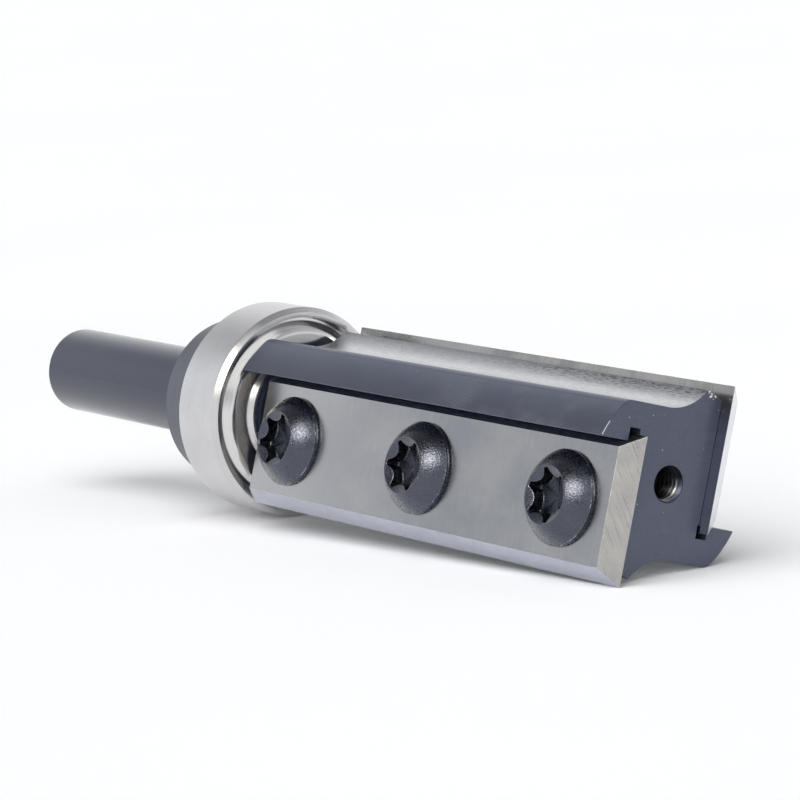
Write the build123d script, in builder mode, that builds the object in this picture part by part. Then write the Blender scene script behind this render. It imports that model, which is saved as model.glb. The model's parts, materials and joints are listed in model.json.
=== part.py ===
"""Flush trim router bit with replaceable four-edge knives and a shank-side guide bearing.

Units are millimetres. +X runs along the tool axis towards the tip and +Z is up, with the bit
lying as it comes to rest: on its bearing, the cutting corner of one knife and the heel of the
other knife's claw. The origin is on the axis, midway along the stretch of shank that a collet grips.

In a section across the axis, u runs along the width of the knives and w is square to them.
The second knife side is the first one turned half a turn about the axis.
"""

import os
from math import acos, atan2, cos, degrees, hypot, pi, radians, sin, sqrt, tan

from build123d import *

# Shank, lock collar and seat of the bearing
shank_diameter = 8.0
shank_grip_length = 26.6
shank_end_chamfer = 0.8
shank_relief_depth = 0.25
shank_relief_land = 1.0
shoulder_diameter = 10.4
shoulder_length = 1.0

# Cutter body, which stays inside the circle that the knives cut
body_inset = 1.23
body_edge_break = 0.1
seat_height = 4.05
claw_overhang = 0.63
claw_thickness = 3.2
claw_heel_radius = 1.2
knife_relief_depth = 0.45
knife_relief_sink = 0.15
flute_corner_radius = 4.75
flute_corner_height = 1.43
side_turns = (0, 180)

# Tapped centre hole in the tip
tip_thread_core = 2.5
tip_thread_depth = 3.4
tip_thread_mouth = 3.2
drill_point_angle = 118

# Knives
knife_length = 50.0
knife_width = 12.0
knife_thickness = 1.7
knife_bevel_angle = 35
knife_overhang = 1.14
knife_end_inset = 0.14
knife_hole_play = 0.05
knife_screw_count = 3
knife_screw_pitch = 18.6
knife_register_clearance = 0.02

# Button-head screws that hold the knives
screw_diameter = 4.0
screw_length = 6.0
screw_thread_clearance = 0.02
screw_hole_spare_depth = 0.8
screw_setback = 0.3
screw_head_diameter = 7.8
screw_head_height = 1.95
screw_head_rim = 0.3
screw_head_flat = 4.7
screw_point_chamfer = 0.5
lobe_outer_diameter = 4.43
lobe_inner_diameter = 3.2
lobe_tip_radius = 0.3
lobe_corner_radius = 0.2
lobe_depth = 1.4
lobe_count = 6
lobe_turns = (45, 30, 14)

# Ball bearing
bearing_diameter = 19.0
bearing_width = 6.0
bearing_bore_clearance = 0.01
bearing_edge_radius = 0.3
ball_diameter = 3.175
ball_count = 7
race_clearance = 0.02
race_conformity = 1.04
inner_race_depth = 0.66
outer_race_depth = 0.31
shield_seat_width = 0.55
shield_seat_depth = 0.8
shield_thickness = 0.25
shield_rim_clearance = 0.02
shield_bore_gap = 0.16
shield_recess = 0.12
shield_cone_width = 1.2
cage_band_width = 1.2
cage_sheet = 0.3
cage_pocket_clearance = 0.06

# Lock collar behind the bearing
collar_diameter = 14.9
collar_width = 4.8
collar_hub_diameter = 10.4
collar_hub_length = 0.5
collar_edge_chamfer = 0.5
collar_bore_chamfer = 0.3
collar_bore_clearance = 0.02
set_screw_diameter = 3.0
set_screw_length = 3.0
set_screw_thread_clearance = 0.02
set_screw_point_gap = 0.02
set_screw_socket = 1.5
set_screw_socket_depth = 1.4
set_screw_point_chamfer = 0.4
set_screw_direction = -60

# Radii
shank_radius = shank_diameter / 2
bearing_radius = bearing_diameter / 2
body_radius = bearing_radius - body_inset
cut_margin = 2.0

# Stations along the axis
shank_end_x = -shank_grip_length / 2
collar_x = shank_grip_length / 2
hub_x = collar_x + collar_width
bearing_x = hub_x + collar_hub_length
shoulder_x = bearing_x + bearing_width
body_x = shoulder_x + shoulder_length
body_length = knife_end_inset + knife_length - knife_overhang
tip_x = body_x + body_length
bearing_middle_x = bearing_x + bearing_width / 2
knife_middle_x = tip_x + knife_overhang - knife_length / 2

# The cutting edges run on the same circle as the rim of the bearing
cutting_radius = bearing_radius
cutting_edge = sqrt(cutting_radius ** 2 - seat_height ** 2)
knife_middle = knife_width / 2 - cutting_edge
knife_back = knife_width - cutting_edge
knife_front = seat_height + knife_thickness
claw_wall = knife_back - claw_overhang
flute_floor = claw_wall + claw_thickness
knife_relief_wall = knife_back + knife_relief_depth
bevel_height_at_wall = claw_overhang / tan(radians(knife_bevel_angle))
knife_relief_top = seat_height + bevel_height_at_wall + knife_register_clearance
knife_relief_floor = seat_height - knife_relief_sink

# Lying at rest, the cutting corner of one knife and the rounded heel of the other's claw are level
heel_height = sqrt(body_radius ** 2 - flute_floor ** 2)
heel_middle_u = flute_floor - claw_heel_radius
heel_middle_w = sqrt((body_radius - claw_heel_radius) ** 2 - heel_middle_u ** 2)
rest_span_u = cutting_edge - heel_middle_u
rest_span_w = seat_height + heel_middle_w
rest_lean = acos(claw_heel_radius / hypot(rest_span_u, rest_span_w))
rest_roll = degrees(rest_lean - atan2(rest_span_w, rest_span_u))

# The holes of a knife are centred on it, and it is pushed towards the tip by their play on the screws
knife_hole_stations = [
    knife_middle_x + (index - (knife_screw_count - 1) / 2) * knife_screw_pitch
    for index in range(knife_screw_count)
]
screw_stations = [x - screw_setback for x in knife_hole_stations]
knife_hole_radius = screw_diameter / 2 + screw_setback + knife_hole_play


def along_u(turn):
    """Direction of the knife width for the side turned by this many degrees."""
    angle = radians(rest_roll + turn)
    return Vector(0, sin(angle), cos(angle))


def along_w(turn):
    """Direction square to the knife, out of its seat."""
    angle = radians(rest_roll + turn)
    return Vector(0, -cos(angle), sin(angle))


def section_plane(x):
    """Plane across the axis, looked at from the tip, with u to the right and w up."""
    return Plane(origin=(x, 0, 0), x_dir=along_u(0), z_dir=(1, 0, 0))


def turned(turn, *points):
    """Points of a section, given by u and w, on the side turned by this many degrees."""
    return [Vector(u, w).rotate(Axis.Z, turn) for u, w in points]


def knife_plane(turn, height):
    """Plane level with a knife, at a height above the axis, with X to the right and u up."""
    return Plane(origin=along_w(turn) * height, x_dir=(1, 0, 0), z_dir=along_w(turn))


def screw_plane(turn, x):
    """Plane through the axis of a knife screw, with X to the right and w up from the knife's face."""
    seat = Vector(x, 0, 0) + along_u(turn) * knife_middle + along_w(turn) * knife_front
    return Plane(origin=seat, x_dir=(1, 0, 0), z_dir=along_u(turn) * -1)


def save(builder, label):
    """Names a finished piece and writes it."""
    builder.part.label = label
    export_step(builder.part, f"parts/{label}.step")


os.makedirs("parts", exist_ok=True)

# Cutter body: the shank and shoulder are turned, with a shallow relief under the lock collar that
# keeps the burr of its set screw out of the bearing's way
relief_radius = shank_radius - shank_relief_depth
with BuildPart() as cutter_body:
    with BuildSketch(Plane.XY):
        with BuildLine():
            Polyline(
                (shank_end_x, 0),
                (shank_end_x, shank_radius - shank_end_chamfer),
                (shank_end_x + shank_end_chamfer, shank_radius),
                (collar_x, shank_radius),
                (collar_x, relief_radius),
                (hub_x - shank_relief_land, relief_radius),
                (hub_x - shank_relief_land, shank_radius),
                (shoulder_x, shank_radius),
                (shoulder_x, shoulder_diameter / 2),
                (body_x, shoulder_diameter / 2),
                (body_x, 0),
                close=True,
            )
        make_face()
    revolve(axis=Axis.X)

    # Section of the cutter: on each side a flute with a round corner that runs out under the lip of the
    # knife seat, and a pocket for the knife beside a claw with a rounded heel
    flute_corner = flute_floor + flute_corner_radius
    flute_low = flute_corner_height - flute_corner_radius
    cut_reach = body_radius + cut_margin
    with BuildSketch(section_plane(tip_x)) as cutter_section:
        Circle(body_radius)
        for turn in side_turns:
            flute = turned(
                turn,
                (flute_corner, flute_low),
                (flute_corner, cut_reach),
                (flute_floor, cut_reach),
                (flute_floor, flute_corner_height),
            )
            with BuildLine():
                Polyline(*flute)
                RadiusArc(flute[-1], flute[0], -flute_corner_radius)
            make_face(mode=Mode.SUBTRACT)
        heels = [turned(turn, (flute_floor, heel_height))[0] for turn in side_turns]
        fillet([cutter_section.vertices().sort_by_distance(heel)[0] for heel in heels], claw_heel_radius)
        for turn in side_turns:
            pocket = turned(
                turn,
                (claw_wall, cut_reach),
                (claw_wall, knife_relief_top),
                (knife_relief_wall, knife_relief_top),
                (knife_relief_wall, knife_relief_floor),
                (claw_wall, knife_relief_floor),
                (claw_wall, seat_height),
                (-cut_reach, seat_height),
                (-cut_reach, cut_reach),
            )
            with BuildLine():
                Polyline(*pocket, close=True)
            make_face(mode=Mode.SUBTRACT)
    extrude(amount=-body_length)

    # Edge break at both ends of the cutter, cut by a cone that runs past the end and the rim
    break_start = body_radius - 2 * body_edge_break
    break_end = body_radius + body_edge_break
    for end_x, inwards in ((tip_x, -body_edge_break), (body_x, body_edge_break)):
        with BuildSketch(Plane.XY):
            with BuildLine():
                Polyline(
                    (end_x - inwards, break_start),
                    (end_x - inwards, break_end),
                    (end_x + 2 * inwards, break_end),
                    close=True,
                )
            make_face()
        revolve(axis=Axis.X, mode=Mode.SUBTRACT)

    # Tapped holes for the knife screws
    screw_reach = screw_length - knife_thickness + screw_hole_spare_depth
    for turn in side_turns:
        with BuildSketch(knife_plane(turn, seat_height)):
            with Locations([(x, knife_middle) for x in screw_stations]):
                Circle(screw_diameter / 2)
        extrude(amount=-screw_reach, mode=Mode.SUBTRACT)

    # Tapped centre hole with its countersunk mouth and drill point
    core_radius = tip_thread_core / 2
    mouth_radius = tip_thread_mouth / 2
    drill_point = core_radius / tan(radians(drill_point_angle / 2))
    with BuildSketch(Plane.XY):
        with BuildLine():
            Polyline(
                (tip_x, 0),
                (tip_x, mouth_radius),
                (tip_x - mouth_radius + core_radius, core_radius),
                (tip_x - tip_thread_depth, core_radius),
                (tip_x - tip_thread_depth - drill_point, 0),
                close=True,
            )
        make_face()
    revolve(axis=Axis.X, mode=Mode.SUBTRACT)
save(cutter_body, "cutter_body")

# Knives: the larger face lies on the seat and all four sides are bevelled towards the screws
for number, turn in enumerate(side_turns, start=1):
    with BuildPart() as knife:
        with BuildSketch(knife_plane(turn, seat_height)):
            with Locations((knife_middle_x, knife_middle)):
                Rectangle(knife_length, knife_width)
        extrude(amount=knife_thickness, taper=knife_bevel_angle)
        with BuildSketch(knife_plane(turn, seat_height)):
            with Locations([(x, knife_middle) for x in knife_hole_stations]):
                Circle(knife_hole_radius)
        extrude(amount=knife_thickness, mode=Mode.SUBTRACT)
    save(knife, f"knife_{number}")

# Knife screws, with a domed head and a six-lobe recess
head_radius = screw_head_diameter / 2
flat_radius = screw_head_flat / 2
thread_radius = screw_diameter / 2 - screw_thread_clearance
dome_centre = (
    flat_radius ** 2 + screw_head_height ** 2 - head_radius ** 2 - screw_head_rim ** 2
) / (2 * (screw_head_height - screw_head_rim))
dome_radius = hypot(head_radius, screw_head_rim - dome_centre)
lobe_middle_radius = lobe_inner_diameter / 2
lobe_tip_middle = lobe_outer_diameter / 2 - lobe_tip_radius
half_lobe = radians(180 / lobe_count)
hollow_radius = (
    lobe_middle_radius ** 2
    + lobe_tip_middle ** 2
    - 2 * lobe_middle_radius * lobe_tip_middle * cos(half_lobe)
    - lobe_tip_radius ** 2
) / (2 * (lobe_tip_radius - lobe_middle_radius + lobe_tip_middle * cos(half_lobe)))

for number, turn in enumerate(side_turns, start=1):
    for place, x in enumerate(screw_stations, start=1):
        axis = Axis(screw_plane(turn, x).origin, along_w(turn))
        with BuildPart() as screw:
            with BuildSketch(screw_plane(turn, x)):
                with BuildLine():
                    Polyline(
                        (flat_radius, screw_head_height),
                        (0, screw_head_height),
                        (0, -screw_length),
                        (thread_radius - screw_point_chamfer, -screw_length),
                        (thread_radius, screw_point_chamfer - screw_length),
                        (thread_radius, 0),
                        (head_radius, 0),
                        (head_radius, screw_head_rim),
                    )
                    RadiusArc((head_radius, screw_head_rim), (flat_radius, screw_head_height), -dome_radius)
                make_face()
            revolve(axis=axis)
            with BuildSketch(knife_plane(turn, knife_front + screw_head_height)) as recess:
                with Locations(Location((x, knife_middle, 0), (0, 0, lobe_turns[place - 1]))):
                    Circle(lobe_outer_diameter / 2)
                    with PolarLocations(lobe_middle_radius + hollow_radius, lobe_count):
                        Circle(hollow_radius, mode=Mode.SUBTRACT)
                fillet(recess.vertices(), lobe_corner_radius)
            extrude(amount=-lobe_depth, mode=Mode.SUBTRACT)
        save(screw, f"knife_screw_{number}_{place}")

# Bearing rings, turned with a race groove between two lands
ball_radius = ball_diameter / 2
ball_circle = (bearing_radius + shank_radius) / 2
race_radius = ball_radius * race_conformity
half_width = bearing_width / 2
outer_race = ball_circle + ball_radius + race_clearance
inner_race = ball_circle - ball_radius - race_clearance
outer_land = outer_race - outer_race_depth
inner_land = inner_race + inner_race_depth
outer_race_middle = outer_race - race_radius
inner_race_middle = inner_race + race_radius
outer_groove_half = sqrt(race_radius ** 2 - (outer_land - outer_race_middle) ** 2)
inner_groove_half = sqrt(race_radius ** 2 - (inner_race_middle - inner_land) ** 2)
shield_seat = outer_land + shield_seat_width
shield_step = half_width - shield_seat_depth
bearing_plane = Plane((bearing_middle_x, 0, 0))

with BuildPart() as bearing_outer_ring:
    with BuildSketch(bearing_plane):
        with BuildLine():
            Polyline(
                (outer_groove_half, outer_land),
                (shield_step, outer_land),
                (shield_step, shield_seat),
                (half_width, shield_seat),
                (half_width, bearing_radius),
                (-half_width, bearing_radius),
                (-half_width, shield_seat),
                (-shield_step, shield_seat),
                (-shield_step, outer_land),
                (-outer_groove_half, outer_land),
            )
            RadiusArc((-outer_groove_half, outer_land), (outer_groove_half, outer_land), race_radius)
        make_face()
    revolve(axis=Axis.X)
    rim_edges = bearing_outer_ring.edges().filter_by(GeomType.CIRCLE)
    fillet(rim_edges.group_by(SortBy.RADIUS)[-1], bearing_edge_radius)
save(bearing_outer_ring, "bearing_outer_ring")

with BuildPart() as bearing_inner_ring:
    inner_bore = shank_radius + bearing_bore_clearance
    with BuildSketch(bearing_plane):
        with BuildLine():
            Polyline(
                (inner_groove_half, inner_land),
                (half_width, inner_land),
                (half_width, inner_bore + bearing_edge_radius),
                (half_width - bearing_edge_radius, inner_bore),
                (bearing_edge_radius - half_width, inner_bore),
                (-half_width, inner_bore + bearing_edge_radius),
                (-half_width, inner_land),
                (-inner_groove_half, inner_land),
            )
            RadiusArc((-inner_groove_half, inner_land), (inner_groove_half, inner_land), -race_radius)
        make_face()
    revolve(axis=Axis.X)
save(bearing_inner_ring, "bearing_inner_ring")

# Shields: a pressed rim on the step of the outer ring, a cone and a flat that stops short of the inner ring
shield_rim = shield_seat - shield_rim_clearance
shield_flat = shield_seat - shield_cone_width
shield_bore = inner_land + shield_bore_gap
shield_face = half_width - shield_recess
for label, side in (("bearing_shield_tip", 1), ("bearing_shield_shank", -1)):
    with BuildPart() as shield:
        with BuildSketch(bearing_plane):
            with BuildLine():
                Polyline(
                    (side * shield_step, outer_land),
                    (side * shield_step, shield_rim),
                    (side * (shield_step + shield_thickness), shield_rim),
                    (side * shield_face, shield_flat),
                    (side * shield_face, shield_bore),
                    (side * (shield_face - shield_thickness), shield_bore),
                    (side * (shield_face - shield_thickness), shield_flat),
                    close=True,
                )
            make_face()
        revolve(axis=Axis.X)
    save(shield, label)

# Balls, and a ribbon cage pressed in two halves that meet between the balls
ball_angles = [2 * pi * (index + 0.5) / ball_count for index in range(ball_count)]
ball_directions = [along_u(0) * cos(angle) + along_w(0) * sin(angle) for angle in ball_angles]
bearing_middle = Vector(bearing_middle_x, 0, 0)
ball_planes = [
    Plane(origin=bearing_middle + outward * ball_circle, x_dir=(1, 0, 0), z_dir=outward)
    for outward in ball_directions
]
for number, ball_plane in enumerate(ball_planes, start=1):
    with BuildPart() as ball:
        with Locations(ball_plane):
            Sphere(ball_radius)
    save(ball, f"bearing_ball_{number}")

pocket_radius = ball_radius + cage_pocket_clearance
band_outer = ball_circle + cage_band_width / 2
band_inner = ball_circle - cage_band_width / 2
for label, side in (("bearing_cage_tip_half", 1), ("bearing_cage_shank_half", -1)):
    with BuildPart() as cage_half:
        with Locations(*ball_planes):
            Cylinder(pocket_radius + cage_sheet, 2 * cage_band_width)
        with BuildSketch(section_plane(bearing_middle_x)):
            Circle(bearing_radius)
            Circle(band_outer, mode=Mode.SUBTRACT)
            Circle(band_inner)
        extrude(amount=half_width, both=True, mode=Mode.SUBTRACT)
        with BuildSketch(section_plane(bearing_middle_x)):
            Circle(bearing_radius)
        extrude(amount=-side * half_width, mode=Mode.SUBTRACT)
        with BuildSketch(section_plane(bearing_middle_x)):
            Circle(band_outer)
            Circle(band_inner, mode=Mode.SUBTRACT)
        extrude(amount=side * cage_sheet)
        with Locations(*ball_planes):
            Cylinder(pocket_radius, 2 * cage_band_width, mode=Mode.SUBTRACT)
    save(cage_half, label)

# Lock collar: a turned disc whose hub bears on the inner ring alone
collar_bore = shank_radius + collar_bore_clearance
collar_radius = collar_diameter / 2
set_screw_angle = radians(set_screw_direction)
set_screw_out = along_u(0) * cos(set_screw_angle) + along_w(0) * sin(set_screw_angle)
set_screw_x = collar_x + collar_width / 2
set_screw_foot = relief_radius + set_screw_point_gap
set_screw_plane = Plane(
    origin=Vector(set_screw_x, 0, 0) + set_screw_out * set_screw_foot,
    x_dir=(1, 0, 0),
    z_dir=set_screw_out,
)
with BuildPart() as lock_collar:
    with BuildSketch(Plane.XY):
        with BuildLine():
            Polyline(
                (collar_x, collar_bore + collar_bore_chamfer),
                (collar_x, collar_radius - collar_edge_chamfer),
                (collar_x + collar_edge_chamfer, collar_radius),
                (hub_x - collar_edge_chamfer, collar_radius),
                (hub_x, collar_radius - collar_edge_chamfer),
                (hub_x, collar_hub_diameter / 2),
                (bearing_x, collar_hub_diameter / 2),
                (bearing_x, collar_bore),
                (collar_x + collar_bore_chamfer, collar_bore),
                close=True,
            )
        make_face()
    revolve(axis=Axis.X)
    with BuildSketch(set_screw_plane):
        Circle(set_screw_diameter / 2)
    extrude(amount=collar_radius, both=True, mode=Mode.SUBTRACT)
save(lock_collar, "lock_collar")

with BuildPart() as collar_set_screw:
    with BuildSketch(set_screw_plane):
        Circle(set_screw_diameter / 2 - set_screw_thread_clearance)
    extrude(amount=set_screw_length)
    end_faces = collar_set_screw.faces().sort_by(Axis(set_screw_plane.origin, set_screw_out))
    chamfer(end_faces[0].edges(), set_screw_point_chamfer)
    with BuildSketch(set_screw_plane.offset(set_screw_length)):
        RegularPolygon(set_screw_socket / 2, 6, major_radius=False)
    extrude(amount=-set_screw_socket_depth, mode=Mode.SUBTRACT)
save(collar_set_screw, "collar_set_screw")
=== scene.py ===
"""Flush trim router bit lying on a white floor: visible pieces, materials, light and camera.

Everything is in metres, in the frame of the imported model. +X runs along the tool axis towards the tip.
In a section across the axis, u runs along the width of the knives and w is square to them.
"""
import json
from math import acos, atan2, cos, hypot, pi, radians, sin, sqrt

import bmesh
import bpy
from mathutils import Euler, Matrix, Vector


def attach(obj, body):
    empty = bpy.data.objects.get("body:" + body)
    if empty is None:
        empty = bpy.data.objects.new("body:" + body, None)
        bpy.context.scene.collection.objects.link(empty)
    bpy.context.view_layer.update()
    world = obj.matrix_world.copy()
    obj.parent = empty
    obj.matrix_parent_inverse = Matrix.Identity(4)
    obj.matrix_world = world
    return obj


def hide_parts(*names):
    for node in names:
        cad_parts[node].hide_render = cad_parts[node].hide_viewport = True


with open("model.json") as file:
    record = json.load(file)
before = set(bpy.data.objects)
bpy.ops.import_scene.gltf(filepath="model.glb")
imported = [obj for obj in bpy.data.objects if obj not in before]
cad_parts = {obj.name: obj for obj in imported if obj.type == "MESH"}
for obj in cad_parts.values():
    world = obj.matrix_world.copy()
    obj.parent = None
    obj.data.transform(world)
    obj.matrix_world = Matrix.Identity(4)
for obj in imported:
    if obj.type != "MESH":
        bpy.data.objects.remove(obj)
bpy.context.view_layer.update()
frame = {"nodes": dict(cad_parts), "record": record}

scene = bpy.context.scene
MM = 0.001

# Sizes of the solids, in millimetres
roll = radians(15.51621481)
along_x = (1, 0, 0)
along_u = (0, sin(roll), cos(roll))
along_w = (0, -cos(roll), sin(roll))

shank_end_x = -13.3
shank_radius = 4.0
shank_chamfer = 0.8
relief_x = 13.3
relief_end_x = 17.6
relief_radius = 3.75
bearing_middle_x = 21.6
shoulder_x = 24.6
shoulder_radius = 5.2
body_x = 25.6
tip_x = 74.6

body_radius = 8.27
seat_height = 4.05
claw_wall = 2.77654
relief_wall = 3.85654
relief_floor = 3.9
relief_top = 4.96973
flute_floor = 5.97654
flute_corner_radius = 4.75
flute_corner_height = 1.43
heel_radius = 1.2
edge_break = 0.07

knife_middle = -2.59346
knife_front = 5.75
screw_stations = (31.84, 50.44, 69.04)
screw_hole_radius = 2.0
screw_hole_bottom = -1.05
lobe_turns = (45, 30, 14)

# Fineness of the turned pieces
shank_steps = 128
bearing_steps = 160
screw_steps = 180
screw_hole_steps = 32
groove_steps = 12
rounding_steps = 6
land_steps = 10
lip_land_steps = 4
heel_steps = 8
flute_steps = 18


def place(x, u, w):
    """Point of the model from its station along the axis and its place in the section."""
    return Vector((x, u * sin(roll) - w * cos(roll), u * cos(roll) + w * sin(roll))) * MM


def section_parts(direction):
    """A direction's parts along x, u and w."""
    u = direction.y * sin(roll) + direction.z * cos(roll)
    w = -direction.y * cos(roll) + direction.z * sin(roll)
    return direction.x, u, w


def section_point(point):
    """Station, u and w of a point of the model, in millimetres."""
    x, u, w = section_parts(point)
    return x / MM, u / MM, w / MM


def turns(steps):
    """Angles of a full turn in equal steps."""
    return [2 * pi * i / steps for i in range(steps)]


# Pieces

def evaluated(thing):
    """Mesh of an object with its modifiers applied."""
    graph = bpy.context.evaluated_depsgraph_get()
    return bpy.data.meshes.new_from_object(thing.evaluated_get(graph))


def add_object(name, data):
    thing = bpy.data.objects.new(name, data)
    scene.collection.objects.link(thing)
    return thing


def new_mesh(name, bm):
    bmesh.ops.recalc_face_normals(bm, faces=bm.faces)
    mesh = bpy.data.meshes.new(name)
    bm.to_mesh(mesh)
    bm.free()
    return mesh


def soften(thing, width=0.0):
    """Breaks the sharp edges of a piece by a width, where one is given, and keeps its flats flat."""
    for polygon in thing.data.polygons:
        polygon.use_smooth = True
    if width:
        bevel = thing.modifiers.new("edges", "BEVEL")
        bevel.width = width * MM
        bevel.segments = 2
        bevel.limit_method = "ANGLE"
        bevel.angle_limit = radians(30)
        bevel.use_clamp_overlap = True
    normals = thing.modifiers.new("normals", "WEIGHTED_NORMAL")
    normals.keep_sharp = True
    normals.weight = 90


def finish_piece(piece, node_name):
    """Hands the piece over in place of a solid, on that solid's body."""
    body = next(name for name, nodes in frame["record"]["behaviour"]["bodies"].items() if node_name in nodes)
    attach(piece, body)
    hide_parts(node_name)


def dressed(node_name, finish, width):
    """Visible piece from a solid's mesh, with its edges broken."""
    node = frame["nodes"][node_name]
    bm = bmesh.new()
    bm.from_mesh(node.data)
    bmesh.ops.remove_doubles(bm, verts=bm.verts, dist=1e-7)
    bmesh.ops.dissolve_limit(bm, angle_limit=radians(0.3), verts=bm.verts, edges=bm.edges)
    piece = add_object(node_name + "_dressed", new_mesh(node_name, bm))
    piece.data.materials.append(finish)
    soften(piece, width)
    finish_piece(piece, node_name)
    return piece


def skin(bm, rings):
    """Faces between neighbouring rings of vertices. A ring of one vertex closes an end."""
    for first, second in zip(rings, rings[1:]):
        count = max(len(first), len(second))
        for i in range(count):
            j = (i + 1) % count
            corners = [first[i % len(first)], first[j % len(first)]]
            corners += [second[j % len(second)], second[i % len(second)]]
            bm.faces.new(list(dict.fromkeys(corners)))


def lathe(name, profile, steps, closed=False):
    """Surface turned about the axis from a profile of (x, radius) points in millimetres."""
    bm = bmesh.new()
    rings = []
    for x, radius in profile:
        angles = turns(steps) if radius else [0]
        rings.append([
            bm.verts.new((x * MM, radius * MM * cos(angle), radius * MM * sin(angle))) for angle in angles
        ])
    skin(bm, rings + rings[:1] if closed else rings)
    return new_mesh(name, bm)


def rounded(corners):
    """Profile through (x, radius, rounding) corners, each rounded by an arc."""
    points = []
    count = len(corners)
    for index, (x, y, rounding) in enumerate(corners):
        if rounding <= 0:
            points.append((x, y))
            continue
        here = Vector((x, y))
        before = (Vector(corners[index - 1][:2]) - here).normalized()
        after = (Vector(corners[(index + 1) % count][:2]) - here).normalized()
        half = acos(before.dot(after)) / 2
        reach = rounding / (sin(half) / cos(half))
        middle = here + (before + after).normalized() * (rounding / sin(half))
        start = here + before * reach - middle
        end = here + after * reach - middle
        turn = atan2(start.cross(end), start.dot(end))
        base = atan2(start.y, start.x)
        for step in range(rounding_steps + 1):
            angle = base + turn * step / rounding_steps
            points.append((middle.x + rounding * cos(angle), middle.y + rounding * sin(angle)))
    return points


def screw_mesh(name, rings, x, side):
    """Surface through rings about the line of a knife screw, at a station and on one side of the tool.

    Each ring is a function of the angle and returns a radius and a height over the knife's face.
    side is 1 or -1.
    """
    bm = bmesh.new()
    loops = []
    for ring in rings:
        loop = []
        for angle in turns(screw_steps):
            radius, height = ring(angle)
            u = knife_middle + radius * sin(angle)
            loop.append(bm.verts.new(place(x + radius * cos(angle), side * u, side * (knife_front + height))))
            if not radius:
                break
        loops.append(loop)
    skin(bm, loops)
    return new_mesh(name, bm)


def knife_screw(number, index):
    """Button-head screw with a domed head, a six-lobe recess and a shallow cone round the recess."""
    shaft, shaft_end, shaft_chamfer = 1.98, -6.0, 0.5
    head, foot_break = 3.9, 0.03
    rim_low, rim_middle, rim_high = 0.3, 0.34, 0.39
    dome_middle, dome_radius, dome_top, dome_steps = -1.8106, 4.434, 1.905, 22
    flat, cone_top, cone_slope = 2.38, 1.92, 0.42
    lobe_tip, hollow_middle, hollow_radius, lobe_blend = 2.215, 2.758, 1.158, 36
    # Widths of the painted highlights on the rim and round the recess.
    glint_rim, glint_edge = 0.035, 0.055
    turn = radians(lobe_turns[index - 1])
    station = screw_stations[index - 1]
    side = 1 if number == 1 else -1

    def recess(angle):
        """Radius of the recess at an angle."""
        step = radians(60)
        off = (angle - turn + step / 2) % step - step / 2
        under = hollow_radius ** 2 - (hollow_middle * sin(off)) ** 2
        if under <= 0:
            return lobe_tip
        hollow = hollow_middle * cos(off) - sqrt(under)
        return (hollow ** -lobe_blend + lobe_tip ** -lobe_blend) ** (-1 / lobe_blend)

    def cone(radius):
        """Height of the shallow cone at a radius."""
        return cone_top - (flat - radius) * cone_slope

    def plain(radius, height):
        return lambda angle: (radius, height)

    def edge_ring(scale, spare, drop):
        """Ring that follows the recess, wider by spare and lower than the cone by drop."""
        def ring(angle):
            radius = recess(angle) * scale + spare
            return radius, cone(radius) - drop
        return ring

    def floor_ring(scale, height):
        return lambda angle: (recess(angle) * scale, height)

    rings = [plain(0, shaft_end), plain(shaft - shaft_chamfer, shaft_end)]
    rings += [plain(shaft, shaft_end + shaft_chamfer), plain(shaft, 0.0)]
    rings += [plain(head - foot_break, 0.0), plain(head, foot_break)]
    rings += [plain(head, rim_low), plain(head - 0.012, rim_middle)]
    for i in range(dome_steps + 1):
        height = rim_high + (dome_top - rim_high) * (1 - (1 - i / dome_steps) ** 1.6)
        rings.append(plain(sqrt(dome_radius ** 2 - (height - dome_middle) ** 2), height))
    rings += [plain(flat, 1.925), plain(flat - 0.05, 1.91)]
    rings += [edge_ring(1, 0.06, 0.0), edge_ring(1, 0.02, 0.01)]
    rings += [edge_ring(1, 0.0, 0.05), edge_ring(0.99, 0.0, 0.4)]
    rings += [floor_ring(0.98, 0.72), floor_ring(0.95, 0.64), floor_ring(0.86, 0.6), floor_ring(0.4, 0.5)]
    rings.append(plain(0, 0.42))

    node_name = f"knife_screw_{number}_{index}"
    piece = add_object(node_name + "_dressed", screw_mesh(node_name, rings, station, side))
    # Plain oxide, a darker copy inside the recess as painted shade, and painted highlights on the edges.
    for material in (screw_finish, socket_finish, edge_glint_finish):
        piece.data.materials.append(material)
    for polygon in piece.data.polygons:
        polygon.use_smooth = True
        x, u, w = section_point(polygon.center)
        x, u, height = x - station, side * u - knife_middle, side * w - knife_front
        off = hypot(x, u)
        on_rim = off > head - glint_rim and rim_low < height < rim_high
        on_cone = off < 2.3 and abs(height - cone(off)) < 0.02
        # Inside the recess: the darker copy, painted shade.
        if off < 2.2 and 0 < height < cone(off) - 0.03:
            polygon.material_index = 1
        # Painted highlights on the rim and the recess's edge.
        if on_rim or on_cone and off < recess(atan2(u, x)) + glint_edge:
            polygon.material_index = 2
    piece.data.set_sharp_from_angle(angle=radians(50))
    finish_piece(piece, node_name)


# Materials

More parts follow.
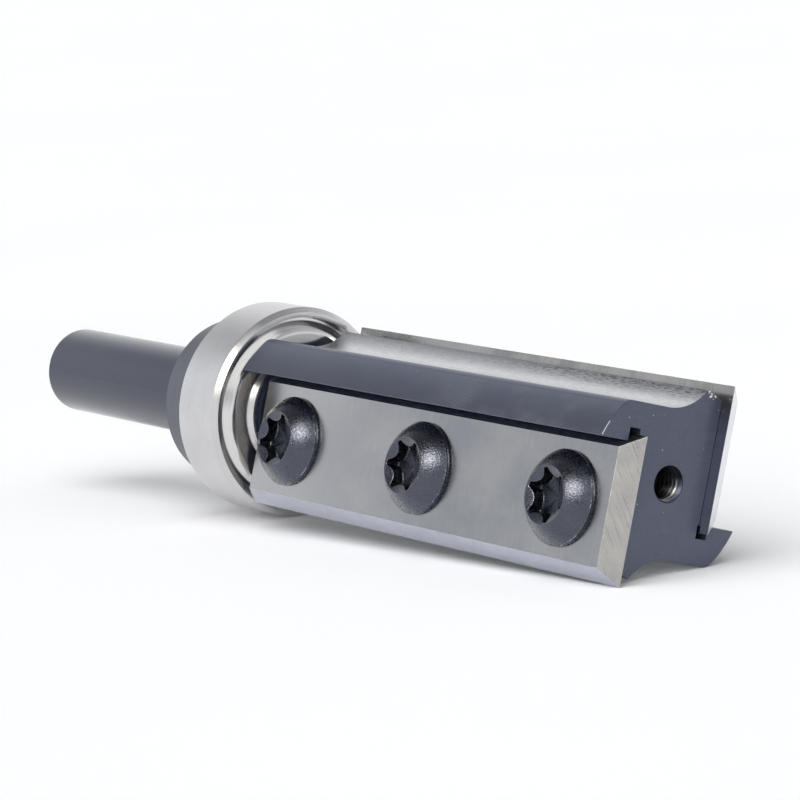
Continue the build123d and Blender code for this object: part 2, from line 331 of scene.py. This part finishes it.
class Graph:
    """The node tree of a material or the world, with short calls that add and link its nodes."""

    def __init__(self, owner, coordinates="Object"):
        """coordinates names the texture coordinates that its patterns follow."""
        owner.use_nodes = True
        self.owner = owner
        self.tree = owner.node_tree
        self.tree.nodes.clear()
        self.coordinates = self.node("TexCoord").outputs[coordinates]

    def node(self, kind, inputs=(), **settings):
        """Adds a node. inputs gives sockets or plain values by the name or number of the input."""
        node = self.tree.nodes.new("ShaderNode" + kind)
        for key, value in settings.items():
            setattr(node, key, value)
        for key, value in dict(inputs).items():
            if isinstance(value, bpy.types.NodeSocket):
                self.tree.links.new(value, node.inputs[key])
            else:
                node.inputs[key].default_value = value
        return node

    def math(self, operation, first, second=0.0, clamp=False):
        return self.node("Math", {0: first, 1: second}, operation=operation, use_clamp=clamp).outputs[0]

    def times(self, first, second):
        return self.math("MULTIPLY", first, second)

    def over(self, value, limit):
        """1 where a value is over a limit, and 0 elsewhere."""
        return self.math("GREATER_THAN", value, limit)

    def under(self, value, limit):
        return self.math("LESS_THAN", value, limit)

    def dot(self, direction):
        inputs = {0: self.coordinates, 1: direction}
        return self.node("VectorMath", inputs, operation="DOT_PRODUCT").outputs["Value"]

    def axis(self, direction):
        """Distance along a direction, in millimetres."""
        return self.dot([part / MM for part in direction])

    def turned_place(self, along=1.0, across=1.0):
        """Station along the axis and distance from it, so that a pattern runs round with the turning."""
        x = self.axis(along_x)
        y = self.axis((0, 1, 0))
        z = self.axis((0, 0, 1))
        radius = self.math("SQRT", self.math("ADD", self.times(y, y), self.times(z, z)))
        parts = {"X": self.times(x, along), "Y": self.times(radius, across)}
        return self.node("CombineXYZ", parts).outputs[0]

    def section_place(self, along=1.0, u=1.0, w=1.0):
        """Place by x, u and w in millimetres, with each axis scaled."""
        return self.node("CombineXYZ", {
            "X": self.axis((along, 0, 0)),
            "Y": self.axis((0, u * sin(roll), u * cos(roll))),
            "Z": self.axis((0, -w * cos(roll), w * sin(roll))),
        }).outputs[0]

    def noise(self, vector, scale=1.0, detail=3.0, roughness=0.55):
        inputs = {"Vector": vector, "Scale": scale, "Detail": detail, "Roughness": roughness}
        return self.node("TexNoise", inputs).outputs["Fac"]

    def near(self, spot, reach):
        """1 within a distance of a point given by its station, u and w, in millimetres."""
        here = self.node("VectorMath", {0: self.coordinates, "Scale": 1 / MM}, operation="SCALE")
        gap = self.node("VectorMath", {0: here.outputs["Vector"], 1: place(*spot) / MM}, operation="DISTANCE")
        return self.under(gap.outputs["Value"], reach)

    def specks(self, vector, scale, size):
        """Small round spots, 1 inside and 0 outside."""
        cells = self.node("TexVoronoi", {"Vector": vector, "Scale": scale, "Randomness": 1.0}, feature="F1")
        return self.under(cells.outputs["Distance"], size)

    def weigh(self, *parts):
        """Weighted sum of values, from (weight, value) pairs."""
        total = 0.0
        for weight, value in parts:
            total = self.math("ADD", self.times(value, weight), total)
        return total

    def ramp(self, value, stops, interpolation="LINEAR"):
        """Colour ramp through (position, colour) stops."""
        node = self.node("ValToRGB", {"Fac": value})
        node.color_ramp.interpolation = interpolation
        points = node.color_ramp.elements
        while len(points) < len(stops):
            points.new(0.5)
        for point, (position, colour) in zip(points, stops):
            point.position = position
            point.color = (*colour, 1)
        return node.outputs["Color"]

    def span(self, value, low, high, from_low=0.3, from_high=0.7):
        """Maps a value from one span to another. The usual one is the middle of a noise."""
        inputs = {"Value": value, "From Min": from_low, "From Max": from_high, "To Min": low, "To Max": high}
        return self.node("MapRange", inputs).outputs["Result"]

    def mix(self, factor, first, second):
        inputs = {0: factor, 6: first, 7: second}
        inputs = {key: (*value, 1) if isinstance(value, tuple) else value for key, value in inputs.items()}
        return self.node("Mix", inputs, data_type="RGBA").outputs[2]

    def bump(self, height, depth, below=None):
        """Bump whose height of 1 stands for a depth in millimetres."""
        inputs = {"Height": height, "Distance": depth * MM}
        if below is not None:
            inputs["Normal"] = below
        return self.node("Bump", inputs).outputs["Normal"]

    def seen(self):
        """1 for what shows directly, in gloss or through glass, and 0 for what lights matt surfaces."""
        rays = self.node("LightPath").outputs
        direct = self.math("ADD", rays["Is Camera Ray"], rays["Is Glossy Ray"])
        return self.math("ADD", direct, rays["Is Transmission Ray"], clamp=True)

    def shade(self, **inputs):
        """Finishes a material with the inputs of its shader, and returns it."""
        shader = self.node("BsdfPrincipled", {key.replace("_", " "): value for key, value in inputs.items()})
        self.node("OutputMaterial", {"Surface": shader.outputs["BSDF"]})
        return self.owner


def material_graph(name):
    return Graph(bpy.data.materials.new(name))


def plain_steel(name, dark, light, rough, bump=0.002):
    """Metal whose tone and gloss wander, with a fine grain."""
    graph = material_graph(name)
    cloud = graph.noise(graph.section_place(), 0.35, 4)
    fine = graph.noise(graph.section_place(), 5, 3)
    return graph.shade(
        Base_Color=graph.ramp(graph.weigh((0.6, cloud), (0.4, fine)), [(0.35, dark), (0.65, light)]),
        Metallic=1.0,
        Roughness=graph.span(cloud, rough - 0.04, rough + 0.04),
        Normal=graph.bump(fine, bump),
    )


def turned_steel(name, dark, light, rough, pitch, ridge, bump=0.0015, metallic=1.0, coat=0.0):
    """Metal with turning marks round the axis, a pitch apart along it."""
    graph = material_graph(name)
    cloud = graph.noise(graph.section_place(), 0.35, 4)
    rings = graph.noise(graph.turned_place(1 / pitch, 1 / pitch), 1.0, 2, 0.5)
    fine = graph.noise(graph.turned_place(12, 12), 1.0, 2, 0.6)
    return graph.shade(
        Base_Color=graph.ramp(graph.weigh((0.4, cloud), (0.6, fine)), [(0.35, dark), (0.65, light)]),
        Coat_Weight=coat, Coat_Roughness=0.22,
        Metallic=metallic,
        Roughness=graph.span(cloud, rough - 0.04, rough + 0.04),
        Normal=graph.bump(fine, bump, graph.bump(rings, ridge)),
    )


def turning_marks_and_painted_light(graph, colour, normal):
    """Turned land with fine ridges towards the tip, a painted reflection that makes it lighter near the
    bearing, and painted shade that makes it darker beside the knife.
    """
    pitch = 0.33
    grey = (0.2, 0.215, 0.25)
    x = graph.axis(along_x)
    wave = graph.node("TexWave", {
        "Vector": graph.turned_place(1, 0), "Scale": pi / 10 / pitch, "Distortion": 0.8, "Detail": 1.0,
        "Detail Scale": 0.4,
    }, wave_type="BANDS", bands_direction="X", wave_profile="SIN").outputs["Fac"]
    patch = graph.span(graph.noise(graph.section_place(0.5), 0.4, 2), 0.1, 1.0, 0.4, 0.6)
    ridges = graph.times(wave, graph.times(patch, graph.span(x, 0.15, 1.0, 49, 58)))
    height = graph.math("ABSOLUTE", graph.axis(along_w))
    # Painted reflection: lighter towards the bearing.
    colour = graph.mix(graph.span(x, 0.2, 0.0, 26, 44), colour, grey)
    # Painted shade: darker along the land beside the knife.
    colour = graph.mix(graph.span(height, 0.0, 0.75, 6.0, 7.7), colour, (0.04, 0.045, 0.062))
    colour = graph.mix(graph.times(ridges, 0.45), colour, grey)
    return colour, graph.bump(ridges, 0.02, normal)


def painted_tip_light(graph, colour, normal):
    """Painted reflection of the floor: a paler, bluer lower half. Painted highlights: a bright line on one
    heel's edge at the tip, and bright flecks, broken up by noise, on a lip's corner.
    """
    x = graph.axis(along_x)
    rim = graph.times(graph.over(x, tip_x - 0.055), graph.under(x, tip_x - 0.006))
    # Painted reflection of the floor: paler and bluer towards the bottom.
    colour = graph.mix(graph.span(graph.axis(along_u), 0.14, 0.0, -7, 1), colour, (0.19, 0.21, 0.29))
    # Painted highlights: a bright line on one heel's edge and bright flecks on a lip's corner.
    heel = graph.times(rim, graph.near((tip_x, 3.5, 7.5), 0.62))
    lip_glint_breakup = graph.over(graph.noise(graph.section_place(), 3.5, 2), 0.53)
    lip = graph.times(graph.near((tip_x, 7.85, -2.95), 0.6), lip_glint_breakup)
    return graph.mix(graph.math("MAXIMUM", heel, lip), colour, (0.75, 0.75, 0.75)), normal


def painted_hole_light_and_shade(graph, colour, normal):
    """Tapped hole: painted shade that darkens it deeper in and on the side away from the light, and painted
    highlights on the thread crests on the side that faces the light.
    """
    x = graph.axis(along_x)
    deep = graph.span(x, 1.0, 0.0, tip_x - 1.2, tip_x - 0.4)
    radius = graph.node("SeparateXYZ", {0: graph.turned_place()}).outputs["Y"]
    facing = graph.axis((0, cos(roll) - sin(roll), -cos(roll) - sin(roll)))
    # Painted highlight on the thread crests.
    colour = graph.mix(graph.times(graph.under(radius, 1.36), 0.8), colour, (0.75, 0.72, 0.65))
    # Painted shade, darker deeper into the hole.
    colour = graph.mix(deep, colour, (0.012, 0.012, 0.015))
    # Painted shade on the side away from the light.
    return graph.mix(graph.span(facing, 0.0, 1.0, 0.6, 1.5), (0.014, 0.014, 0.018), colour), normal


def oxide(name, *details, lift=1.0, specular=0.5):
    """Slate oxide of the cutter, with bright specks. Each detail changes its colour and normal."""
    graph = material_graph(name)
    cloud = graph.noise(graph.section_place(), 0.3, 4)
    fine = graph.noise(graph.section_place(), 6, 3)
    dark = [part * lift for part in (0.079, 0.09, 0.131)]
    light = [part * lift for part in (0.101, 0.114, 0.159)]
    colour = graph.ramp(graph.weigh((0.45, cloud), (0.55, fine)), [(0.35, dark), (0.65, light)])
    spots = graph.specks(graph.section_place(), 0.8, 0.04)
    dust = graph.times(graph.specks(graph.section_place(), 2.6, 0.07), 0.3)
    colour = graph.mix(graph.math("MAXIMUM", spots, dust), colour, (0.5, 0.5, 0.52))
    normal = graph.bump(fine, 0.004)
    for detail in details:
        colour, normal = detail(graph, colour, normal)
    return graph.shade(
        Base_Color=colour,
        Metallic=0.45,
        Specular_IOR_Level=specular,
        Roughness=graph.span(cloud, 0.32, 0.4),
        Normal=normal,
    )


def flute_steel(name):
    """Milled flute with short chatter marks, and a painted reflection that makes it bright under the claw's
    heel and darker towards the lip.
    """
    graph = material_graph(name)
    cloud = graph.noise(graph.section_place(0.3), 0.6, 4)
    scales = graph.noise(graph.section_place(1.0, 3.6, 3.6), 1.5, 3, 0.6)
    dashes = graph.noise(graph.section_place(0.9, 7, 7), 1.6, 2, 0.5)
    fine = graph.noise(graph.section_place(1, 2, 2), 7, 3)
    # Painted reflection: bright under the claw's heel, darker towards the lip.
    lift = graph.times(graph.axis(along_w), graph.math("SIGN", graph.axis(along_u)))
    colour = graph.ramp(graph.span(lift, 0.0, 1.0, -2.5, 1.0), [
        (0.0, (0.34, 0.36, 0.385)), (0.12, (0.55, 0.565, 0.59)),
        (0.45, (0.74, 0.75, 0.77)), (1.0, (0.8, 0.81, 0.83)),
    ])
    mottle = graph.span(graph.weigh((0.3, cloud), (0.7, scales)), 0.0, 0.38, 0.4, 0.64)
    colour = graph.mix(mottle, colour, (0.34, 0.35, 0.37))
    low = graph.span(lift, 1.0, 0.0, -2.1, -1.2)
    near_tip = graph.span(graph.axis(along_x), 0.1, 1.0, 46, 62)
    chatter = graph.times(graph.span(dashes, 0.0, 1.0, 0.5, 0.57), graph.times(low, near_tip))
    return graph.shade(
        Base_Color=graph.mix(graph.times(chatter, 0.8), colour, (0.07, 0.075, 0.09)),
        Metallic=1.0,
        Roughness=graph.span(fine, 0.26, 0.36),
        Normal=graph.bump(scales, 0.02, graph.bump(fine, 0.002)),
    )


def carbide_front(name, dark, light, cloud_scale, painted_end_reflection=0.0):
    """Ground face of a knife: cloudy grey, with faint cross marks and a painted reflection that makes it
    lighter towards the bearing.

    The last argument paints a reflection of the floor: it makes the lower part of what stands out past the
    tip lighter and bluer.
    """
    graph = material_graph(name)
    x = graph.axis(along_x)
    cloud = graph.noise(graph.section_place(0.7), cloud_scale, 5, 0.6)
    cross = graph.noise(graph.section_place(7.0, 0.35, 0.35), 1.0, 2, 0.6)
    spots = graph.times(graph.specks(graph.section_place(), 0.9, 0.035), 0.6)
    colour = graph.ramp(graph.weigh((0.75, cloud), (0.25, cross)), [(0.38, dark), (0.62, light)])
    # Painted reflection: lighter towards the bearing.
    colour = graph.mix(graph.span(x, 0.75, 0.0, 26, 50), colour, (0.5, 0.5, 0.505))
    # Painted reflection of the floor on the lower part past the tip.
    if painted_end_reflection:
        lower = graph.span(graph.axis(along_u), painted_end_reflection, 0.0, 4.4, 7.2)
        colour = graph.mix(graph.times(graph.over(x, tip_x), lower), colour, (0.5, 0.53, 0.62))
    return graph.shade(
        Base_Color=graph.mix(spots, colour, (0.6, 0.58, 0.52)),
        Metallic=1.0,
        Roughness=graph.span(cloud, 0.17, 0.25),
        Normal=graph.bump(cross, 0.0012),
    )


def carbide_bevel(name, dark, light, lean, stretch, sparkle):
    """Ground bevel with marks along a line that leans from u towards x by an angle in degrees."""
    graph = material_graph(name)
    lean = radians(lean)
    cloud = graph.noise(graph.section_place(), 0.5, 4, 0.6)
    along = graph.axis((sin(lean), cos(lean) * sin(roll), cos(lean) * cos(roll)))
    across = graph.axis((cos(lean), -sin(lean) * sin(roll), -sin(lean) * cos(roll)))
    line = graph.node("CombineXYZ", {"X": graph.times(along, stretch), "Y": graph.times(across, 16.0)})
    marks = graph.noise(line.outputs[0], 1.0, 3, 0.65)
    grit = graph.noise(graph.section_place(), 10, 2, 0.6)
    tone = graph.weigh((0.35, cloud), (0.4, marks), (0.25, grit))
    return graph.shade(
        Base_Color=graph.ramp(tone, [(0.38, dark), (0.62, light)]),
        Metallic=1.0,
        Roughness=graph.span(marks, 0.26, 0.36),
        Normal=graph.bump(grit, sparkle, graph.bump(marks, 0.0018)),
    )


def screw_oxide(name, dark, light, peel_depth, coat=0.85, glint_threshold=0.0):
    """Black oxide over a grainy forged surface that glitters in the light. The last argument, a noise
    threshold, paints lighter patches over part of it as painted highlights.
    """
    graph = material_graph(name)
    cloud = graph.noise(graph.section_place(), 0.6, 4)
    peel = graph.noise(graph.section_place(), 6.5, 2, 0.6)
    spots = graph.specks(graph.section_place(), 1.5, 0.05)
    glitter = graph.noise(graph.section_place(), 5, 1, 0.6)
    colour = graph.ramp(graph.weigh((0.6, cloud), (0.4, peel)), [(0.35, dark), (0.65, light)])
    # Painted highlights: lighter patches where the noise passes the threshold.
    if glint_threshold:
        bare = graph.over(graph.noise(graph.section_place(), 1.3, 3), glint_threshold)
        colour = graph.mix(bare, colour, (0.23, 0.23, 0.26))
    return graph.shade(
        Base_Color=graph.mix(spots, colour, (0.45, 0.45, 0.45)),
        Metallic=1.0,
        Coat_Weight=coat, Coat_Roughness=0.2,
        Roughness=graph.span(glitter, 0.14, 0.4, 0.42, 0.58),
        Normal=graph.bump(peel, peel_depth), Coat_Normal=graph.bump(peel, peel_depth),
    )


# Both body oxides carry the painted reflection and highlights near the tip; the turned one also the painted
# light along the land.
slate = oxide("body_oxide", painted_tip_light)
slate_turned = oxide("body_oxide_turned", turning_marks_and_painted_light, painted_tip_light, lift=1.22)
# The hole's oxide: painted shade and highlights in the tapped hole.
slate_socket = oxide("body_oxide_socket", painted_hole_light_and_shade, specular=0.1)
flute_finish = flute_steel("flute_milled")
shank_finish = turned_steel(
    "shank_ground", (0.016, 0.021, 0.045), (0.024, 0.03, 0.056),
    rough=0.2, pitch=0.5, ridge=0.001, metallic=0.25, coat=0.5)

knife_finish = carbide_front("carbide_face", (0.265, 0.275, 0.295), (0.34, 0.345, 0.355), cloud_scale=0.2)
far_finish = carbide_front(
    "carbide_far_face", (0.23, 0.23, 0.23), (0.37, 0.365, 0.355), cloud_scale=0.4, painted_end_reflection=0.8)
# The long bevels are lighter and bluer than the faces: a painted reflection of the floor.
bevel_finish = carbide_bevel(
    "carbide_long_bevel", (0.44, 0.455, 0.53), (0.53, 0.545, 0.62), lean=90, stretch=0.3, sparkle=0.002)
tip_finish = carbide_bevel(
    "carbide_short_bevel", (0.33, 0.33, 0.335), (0.48, 0.465, 0.44), lean=-19, stretch=0.2, sparkle=0.02)
# The far knife's short bevel is much paler than the near one's: a painted reflection of the white surround.
pale_finish = carbide_bevel(
    "carbide_far_bevel", (0.7, 0.7, 0.74), (0.84, 0.84, 0.87), lean=-19, stretch=0.2, sparkle=0.006)

screw_finish = screw_oxide("screw_oxide", (0.046, 0.052, 0.076), (0.066, 0.074, 0.102), peel_depth=0.028)
# A darker copy of the screw oxide for inside the recess: painted shade.
socket_finish = screw_oxide(
    "screw_oxide_socket", (0.036, 0.04, 0.054), (0.06, 0.065, 0.083), peel_depth=0.03, coat=0.2)
# Painted highlights on the rim and round the recess of each screw.
edge_glint_finish = screw_oxide(
    "screw_edge_glint", (0.06, 0.067, 0.092), (0.088, 0.096, 0.125), peel_depth=0.01, glint_threshold=0.54)

bearing_finish = turned_steel(
    "bearing_ground", (0.55, 0.545, 0.55), (0.68, 0.675, 0.68), rough=0.24, pitch=0.12, ridge=0.0012)
shield_finish = turned_steel(
    "shield_sheet", (0.64, 0.635, 0.63), (0.74, 0.735, 0.73), rough=0.17, pitch=0.3, ridge=0.001)
cage_finish = plain_steel("cage_sheet", (0.5, 0.49, 0.47), (0.58, 0.57, 0.55), rough=0.3)
ball_finish = plain_steel(
    "ball_polished", (0.66, 0.66, 0.68), (0.72, 0.72, 0.74), rough=0.08, bump=0.0002)
collar_finish = turned_steel(
    "collar_oxide", (0.085, 0.093, 0.115), (0.11, 0.118, 0.143),
    rough=0.36, pitch=0.3, ridge=0.002, metallic=0.5, coat=0.4)

finishes = {
    "body_steel": slate, "knife_carbide": knife_finish, "screw_steel": screw_finish,
    "bearing_steel": bearing_finish, "shield_steel": shield_finish, "cage_steel": cage_finish,
    "ball_steel": ball_finish, "collar_steel": collar_finish,
}
for entry in frame["record"]["subparts"]:
    mesh = frame["nodes"][entry["node"]].data
    mesh.materials.clear()
    mesh.materials.append(finishes[entry["material_slot"]])


# Cutter body

def arc(middle, radius, start, end, steps):
    """Points of an arc from one angle to another."""
    angles = [start + (end - start) * i / steps for i in range(steps + 1)]
    return [(middle[0] + radius * cos(angle), middle[1] + radius * sin(angle)) for angle in angles]


def half_section():
    """Outline of one side in u and w, from its seat's lip to the other side's, with a kind per edge."""
    lip = sqrt(body_radius ** 2 - seat_height ** 2)
    seat = [(-lip, seat_height), (claw_wall, seat_height), (claw_wall, relief_floor),
            (relief_wall, relief_floor), (relief_wall, relief_top), (claw_wall, relief_top)]
    outline = [(point, "slate") for point in seat]

    heel_u = flute_floor - heel_radius
    heel = (heel_u, sqrt((body_radius - heel_radius) ** 2 - heel_u ** 2))
    meet = atan2(heel[1], heel[0])
    land = arc((0, 0), body_radius, acos(claw_wall / body_radius), meet, land_steps)
    outline += [(point, "turned") for point in land[:-1]]
    outline += [(point, "slate") for point in arc(heel, heel_radius, meet, 0, heel_steps)[:-1]]
    outline.append(((flute_floor, heel[1]), "flute"))

    radius = flute_corner_radius
    centre = (flute_floor + radius, flute_corner_height)
    span, span_step = 0.0, 0.0005
    while hypot(centre[0] - radius * cos(span), centre[1] - radius * sin(span)) < body_radius:
        span += span_step
    run = arc(centre, radius, pi, pi + span, flute_steps)
    outline += [(point, "flute") for point in run[:-1]]
    outline.append((run[-1], "turned"))
    meet = atan2(run[-1][1], run[-1][0])
    land = arc((0, 0), body_radius, meet, atan2(-seat_height, lip), lip_land_steps)
    outline += [(point, "turned") for point in land[1:-1]]
    return outline


def cutter_prism():
    """Milled section from its outline, with its edges broken."""
    outline = half_section()
    outline += [((-u, -w), kind) for (u, w), kind in outline]
    kinds = {"slate": 0, "turned": 1, "flute": 2}
    bm = bmesh.new()
    back = [bm.verts.new(place(body_x, u, w)) for (u, w), _ in outline]
    front = [bm.verts.new(place(tip_x, u, w)) for (u, w), _ in outline]
    for i, (_, kind) in enumerate(outline):
        j = (i + 1) % len(outline)
        face = bm.faces.new((back[i], back[j], front[j], front[i]))
        face.material_index = kinds[kind]
    bm.faces.new(list(reversed(front)))
    bm.faces.new(back)
    bmesh.ops.recalc_face_normals(bm, faces=bm.faces)
    sharp = [edge for edge in bm.edges if edge.calc_face_angle(0) > radians(25)]
    bmesh.ops.bevel(
        bm, geom=sharp, offset=edge_break * MM, segments=2, profile=0.5, affect="EDGES", clamp_overlap=True)
    mesh = new_mesh("cutter_prism", bm)
    for finish in (slate, slate_turned, flute_finish, shank_finish):
        mesh.materials.append(finish)
    return add_object("cutter_body_dressed", mesh)


def thread_tool():
    """Rod with a fine thread, a countersink at its mouth and a drill point."""
    core, depth, pitch, mouth = 1.27, 0.24, 0.5, 1.52
    point_x, point_slope, mouth_inset, spare = 71.0, 0.6, 0.05, 0.3
    steps, rings_per_pitch = 36, 8
    bm = bmesh.new()
    rings = [[bm.verts.new((point_x * MM, 0, 0))]]
    x = point_x + core * point_slope
    while x < tip_x + spare:
        ring = []
        for i, angle in enumerate(turns(steps)):
            phase = (x / pitch - i / steps) % 1.0
            radius = core + depth * (1 - abs(2 * phase - 1))
            radius = max(radius, mouth - max(0.0, tip_x - mouth_inset - x))
            ring.append(bm.verts.new((x * MM, radius * cos(angle) * MM, radius * sin(angle) * MM)))
        rings.append(ring)
        x += pitch / rings_per_pitch
    skin(bm, rings)
    bm.faces.new(rings[-1])
    mesh = new_mesh("thread_tool", bm)
    mesh.materials.append(slate_socket)
    return add_object("thread_tool", mesh)


def rod_tool(side, x):
    """Hole for a knife screw, square to the seat, on side 1 or -1."""
    bm = bmesh.new()
    rings = []
    for w in (screw_hole_bottom, seat_height + 1):
        ring = []
        for angle in turns(screw_hole_steps):
            u = knife_middle + screw_hole_radius * sin(angle)
            ring.append(bm.verts.new(place(x + screw_hole_radius * cos(angle), side * u, side * w)))
        rings.append(ring)
    skin(bm, rings)
    bm.faces.new(rings[0])
    bm.faces.new(rings[1])
    return add_object("rod_tool", new_mesh("rod_tool", bm))


def combine(thing, tool, operation):
    """Joins a tool to an object or cuts it away, and removes the tool."""
    boolean = thing.modifiers.new("cut", "BOOLEAN")
    boolean.operation = operation
    boolean.solver = "EXACT"
    boolean.object = tool
    boolean.material_mode = "TRANSFER"
    mesh = evaluated(thing)
    thing.modifiers.clear()
    thing.data = mesh
    bpy.data.objects.remove(tool)


def cutter_body():
    """Shank, shoulder and milled section as one piece, with its holes."""
    body = cutter_prism()
    shank_profile = rounded([
        (shank_end_x, 0, 0), (shank_end_x, shank_radius - shank_chamfer, 0.25),
        (shank_end_x + shank_chamfer, shank_radius, 0.3),
        (relief_x, shank_radius, 0), (relief_x, relief_radius, 0),
        (relief_end_x, relief_radius, 0), (relief_end_x, shank_radius, 0),
        (shoulder_x, shank_radius, 0), (shoulder_x, shoulder_radius, 0.08),
        (body_x, shoulder_radius, 0), (body_x, 0, 0),
    ])
    shank = add_object("shank", lathe("shank", shank_profile, shank_steps))
    shank.data.materials.append(shank_finish)
    combine(body, shank, "UNION")
    for side in (1, -1):
        for x in screw_stations:
            combine(body, rod_tool(side, x), "DIFFERENCE")
    combine(body, thread_tool(), "DIFFERENCE")
    soften(body)
    body.data.set_sharp_from_angle(angle=radians(32))
    finish_piece(body, "cutter_body")


cutter_body()


# Knives, screws and collar

for number, face_finish, end_finish in ((1, knife_finish, tip_finish), (2, far_finish, pale_finish)):
    knife = dressed(f"knife_{number}", face_finish, 0.03)
    knife.data.materials.append(bevel_finish)
    knife.data.materials.append(end_finish)
    for polygon in knife.data.polygons:
        x, u, w = section_parts(polygon.normal)
        if abs(w) < 0.9:
            polygon.material_index = 1 if abs(u) > abs(x) else 2
    for index in (1, 2, 3):
        knife_screw(number, index)
dressed("lock_collar", collar_finish, 0.08)
dressed("collar_set_screw", screw_finish, 0.04)


# Bearing

def bearing_ring(node_name, corners, half_width, groove_middle, race_radius):
    """Ring turned from rounded (x, radius, rounding) corners about the bearing's middle.

    Its race groove closes it: an arc of race_radius about a point at groove_middle from the axis,
    half_width to each side.
    """
    reach = atan2(half_width, sqrt(race_radius ** 2 - half_width ** 2))
    sign = 1 if corners[0][1] > groove_middle else -1
    profile = rounded(corners)
    for i in range(groove_steps + 1):
        angle = -reach + 2 * reach * i / groove_steps
        profile.append((race_radius * sin(angle), groove_middle + sign * race_radius * cos(angle)))
    profile = [(bearing_middle_x + x, radius) for x, radius in profile]
    ring = add_object(node_name + "_dressed", lathe(node_name, profile, bearing_steps, closed=True))
    ring.data.materials.append(bearing_finish)
    soften(ring)
    ring.data.set_sharp_from_angle(angle=radians(40))
    finish_piece(ring, node_name)


bearing_ring("bearing_outer_ring", [
    (2.2, 8.0475, 0), (2.2, 8.5975, 0), (3.0, 8.5975, 0.02), (3.0, 9.05, 0.05), (2.55, 9.496, 0.06),
    (-2.55, 9.496, 0.06), (-3.0, 9.05, 0.05), (-3.0, 8.5975, 0.02), (-2.2, 8.5975, 0), (-2.2, 8.0475, 0),
], half_width=0.963, groove_middle=6.7065, race_radius=1.651)
bearing_ring("bearing_inner_ring", [
    (-2.52, 5.8025, 0.1), (-3.0, 5.25, 0.05), (-3.0, 4.31, 0.03), (-2.7, 4.01, 0.03), (2.7, 4.01, 0.03),
    (3.0, 4.31, 0.03), (3.0, 5.25, 0.05), (2.52, 5.8025, 0.1),
], half_width=1.3205, groove_middle=6.7935, race_radius=1.651)

shield_corners = (
    (2.2, 8.05, 0), (2.2, 8.5775, 0), (2.24, 8.5775, 0.015), (2.24, 8.261, 0.08), (2.88, 7.347, 1.1),
    (2.88, 5.965, 0.05), (2.63, 5.965, 0.05), (2.63, 7.3, 0.8),
)
for side, label in ((1, "tip"), (-1, "shank")):
    node_name = f"bearing_shield_{label}"
    corners = [(bearing_middle_x + side * x, radius, rounding) for x, radius, rounding in shield_corners]
    shield = add_object(node_name + "_dressed", lathe("shield", rounded(corners), bearing_steps, closed=True))
    shield.data.materials.append(shield_finish)
    soften(shield)
    finish_piece(shield, node_name)


# Floor, which the bearing, a knife's corner and a claw's heel rest on

floor_tilt = radians(-2.564)
floor_point = Vector((tip_x, 0, -7.26)) * MM
floor_half = 12000.0

bm = bmesh.new()
bmesh.ops.create_grid(bm, x_segments=8, y_segments=8, size=floor_half * MM)
floor = add_object("floor", new_mesh("floor", bm))
floor.location = floor_point
floor.rotation_euler = Euler((0, floor_tilt, 0))
graph = material_graph("floor_white")
cloud = graph.noise(graph.section_place(), 0.01, 2)
floor_finish = graph.shade(
    Base_Color=graph.ramp(cloud, [(0.3, (0.96, 0.96, 0.965)), (0.7, (0.98, 0.98, 0.985))]),
    Roughness=0.9, Specular_IOR_Level=0.0,
    Emission_Color=(1, 1, 1, 1), Emission_Strength=graph.times(graph.seen(), 0.05),
)
floor.data.materials.append(floor_finish)


# Light and camera

def sun(name, direction, angle, strength, gloss=False):
    """Soft far light from a direction: a white one for matt light, or a warm one that only gloss shows."""
    light = bpy.data.lights.new(name, "SUN")
    light.energy = strength
    light.color = (1, 0.94, 0.83) if gloss else (1, 1, 1)
    light.angle = radians(angle)
    lamp = add_object(name, light)
    lamp.visible_diffuse = not gloss
    lamp.visible_glossy = gloss
    lamp.rotation_euler = Vector(direction).to_track_quat("Z", "Y").to_euler()


def studio_world():
    """Soft light from above for matt surfaces.

    What gloss shows is a white surround that darkens towards the ceiling, brighter behind the tool, with one
    bright panel high up towards the tip.
    """
    world = bpy.data.worlds.new("studio")
    scene.world = world
    graph = Graph(world, "Generated")
    parts = graph.node("SeparateXYZ", {0: graph.coordinates}).outputs

    def grey_ramp(value, stops):
        """Smooth ramp of faintly blue greys through (position, level) stops."""
        stops = [(position, (level * 0.985, level, level * 1.03)) for position, level in stops]
        return graph.ramp(value, stops, "B_SPLINE")

    soft = grey_ramp(parts["Z"], [(0.0, 0.15), (1.0, 0.5)])
    lean = graph.math("ADD", parts["Z"], graph.times(parts["X"], 0.2))
    front = grey_ramp(lean, [
        (0.0, 0.97), (0.25, 0.97), (0.35, 0.76), (0.48, 0.44), (0.56, 0.26), (1.0, 0.22),
    ])
    back = grey_ramp(lean, [(0.0, 1.2), (0.3, 1.15), (0.42, 0.9), (0.56, 0.6), (1.0, 0.6)])
    gloss = graph.mix(graph.math("MULTIPLY", parts["Y"], 1.6, clamp=True), front, back)
    panel = grey_ramp(graph.dot((0.8, -0.12, 0.58)), [(0.0, 0.0), (0.85, 0.0), (0.93, 2.2)])
    gloss = graph.mix(panel, gloss, panel)
    background = graph.node("Background", {"Color": graph.mix(graph.seen(), soft, gloss)})
    graph.node("OutputWorld", {"Surface": background.outputs[0]})


sun("top", (0.05, -0.6, 0.8), angle=80, strength=2.4)
sun("key", (0.44, -0.669, 0.586), angle=30, strength=1.9, gloss=True)
studio_world()

camera_data = bpy.data.cameras.new("camera")
camera_data.lens = 157.19
camera_data.sensor_width = 36
camera_data.clip_start = 0.01
camera = add_object("camera", camera_data)
camera.location = Vector((278.96221, -177.98822, 51.43165)) * MM
camera.rotation_euler = Euler([radians(angle) for angle in (80.737362, 1.748454, 53.087407)])
scene.camera = camera

scene.view_settings.view_transform = "Standard"
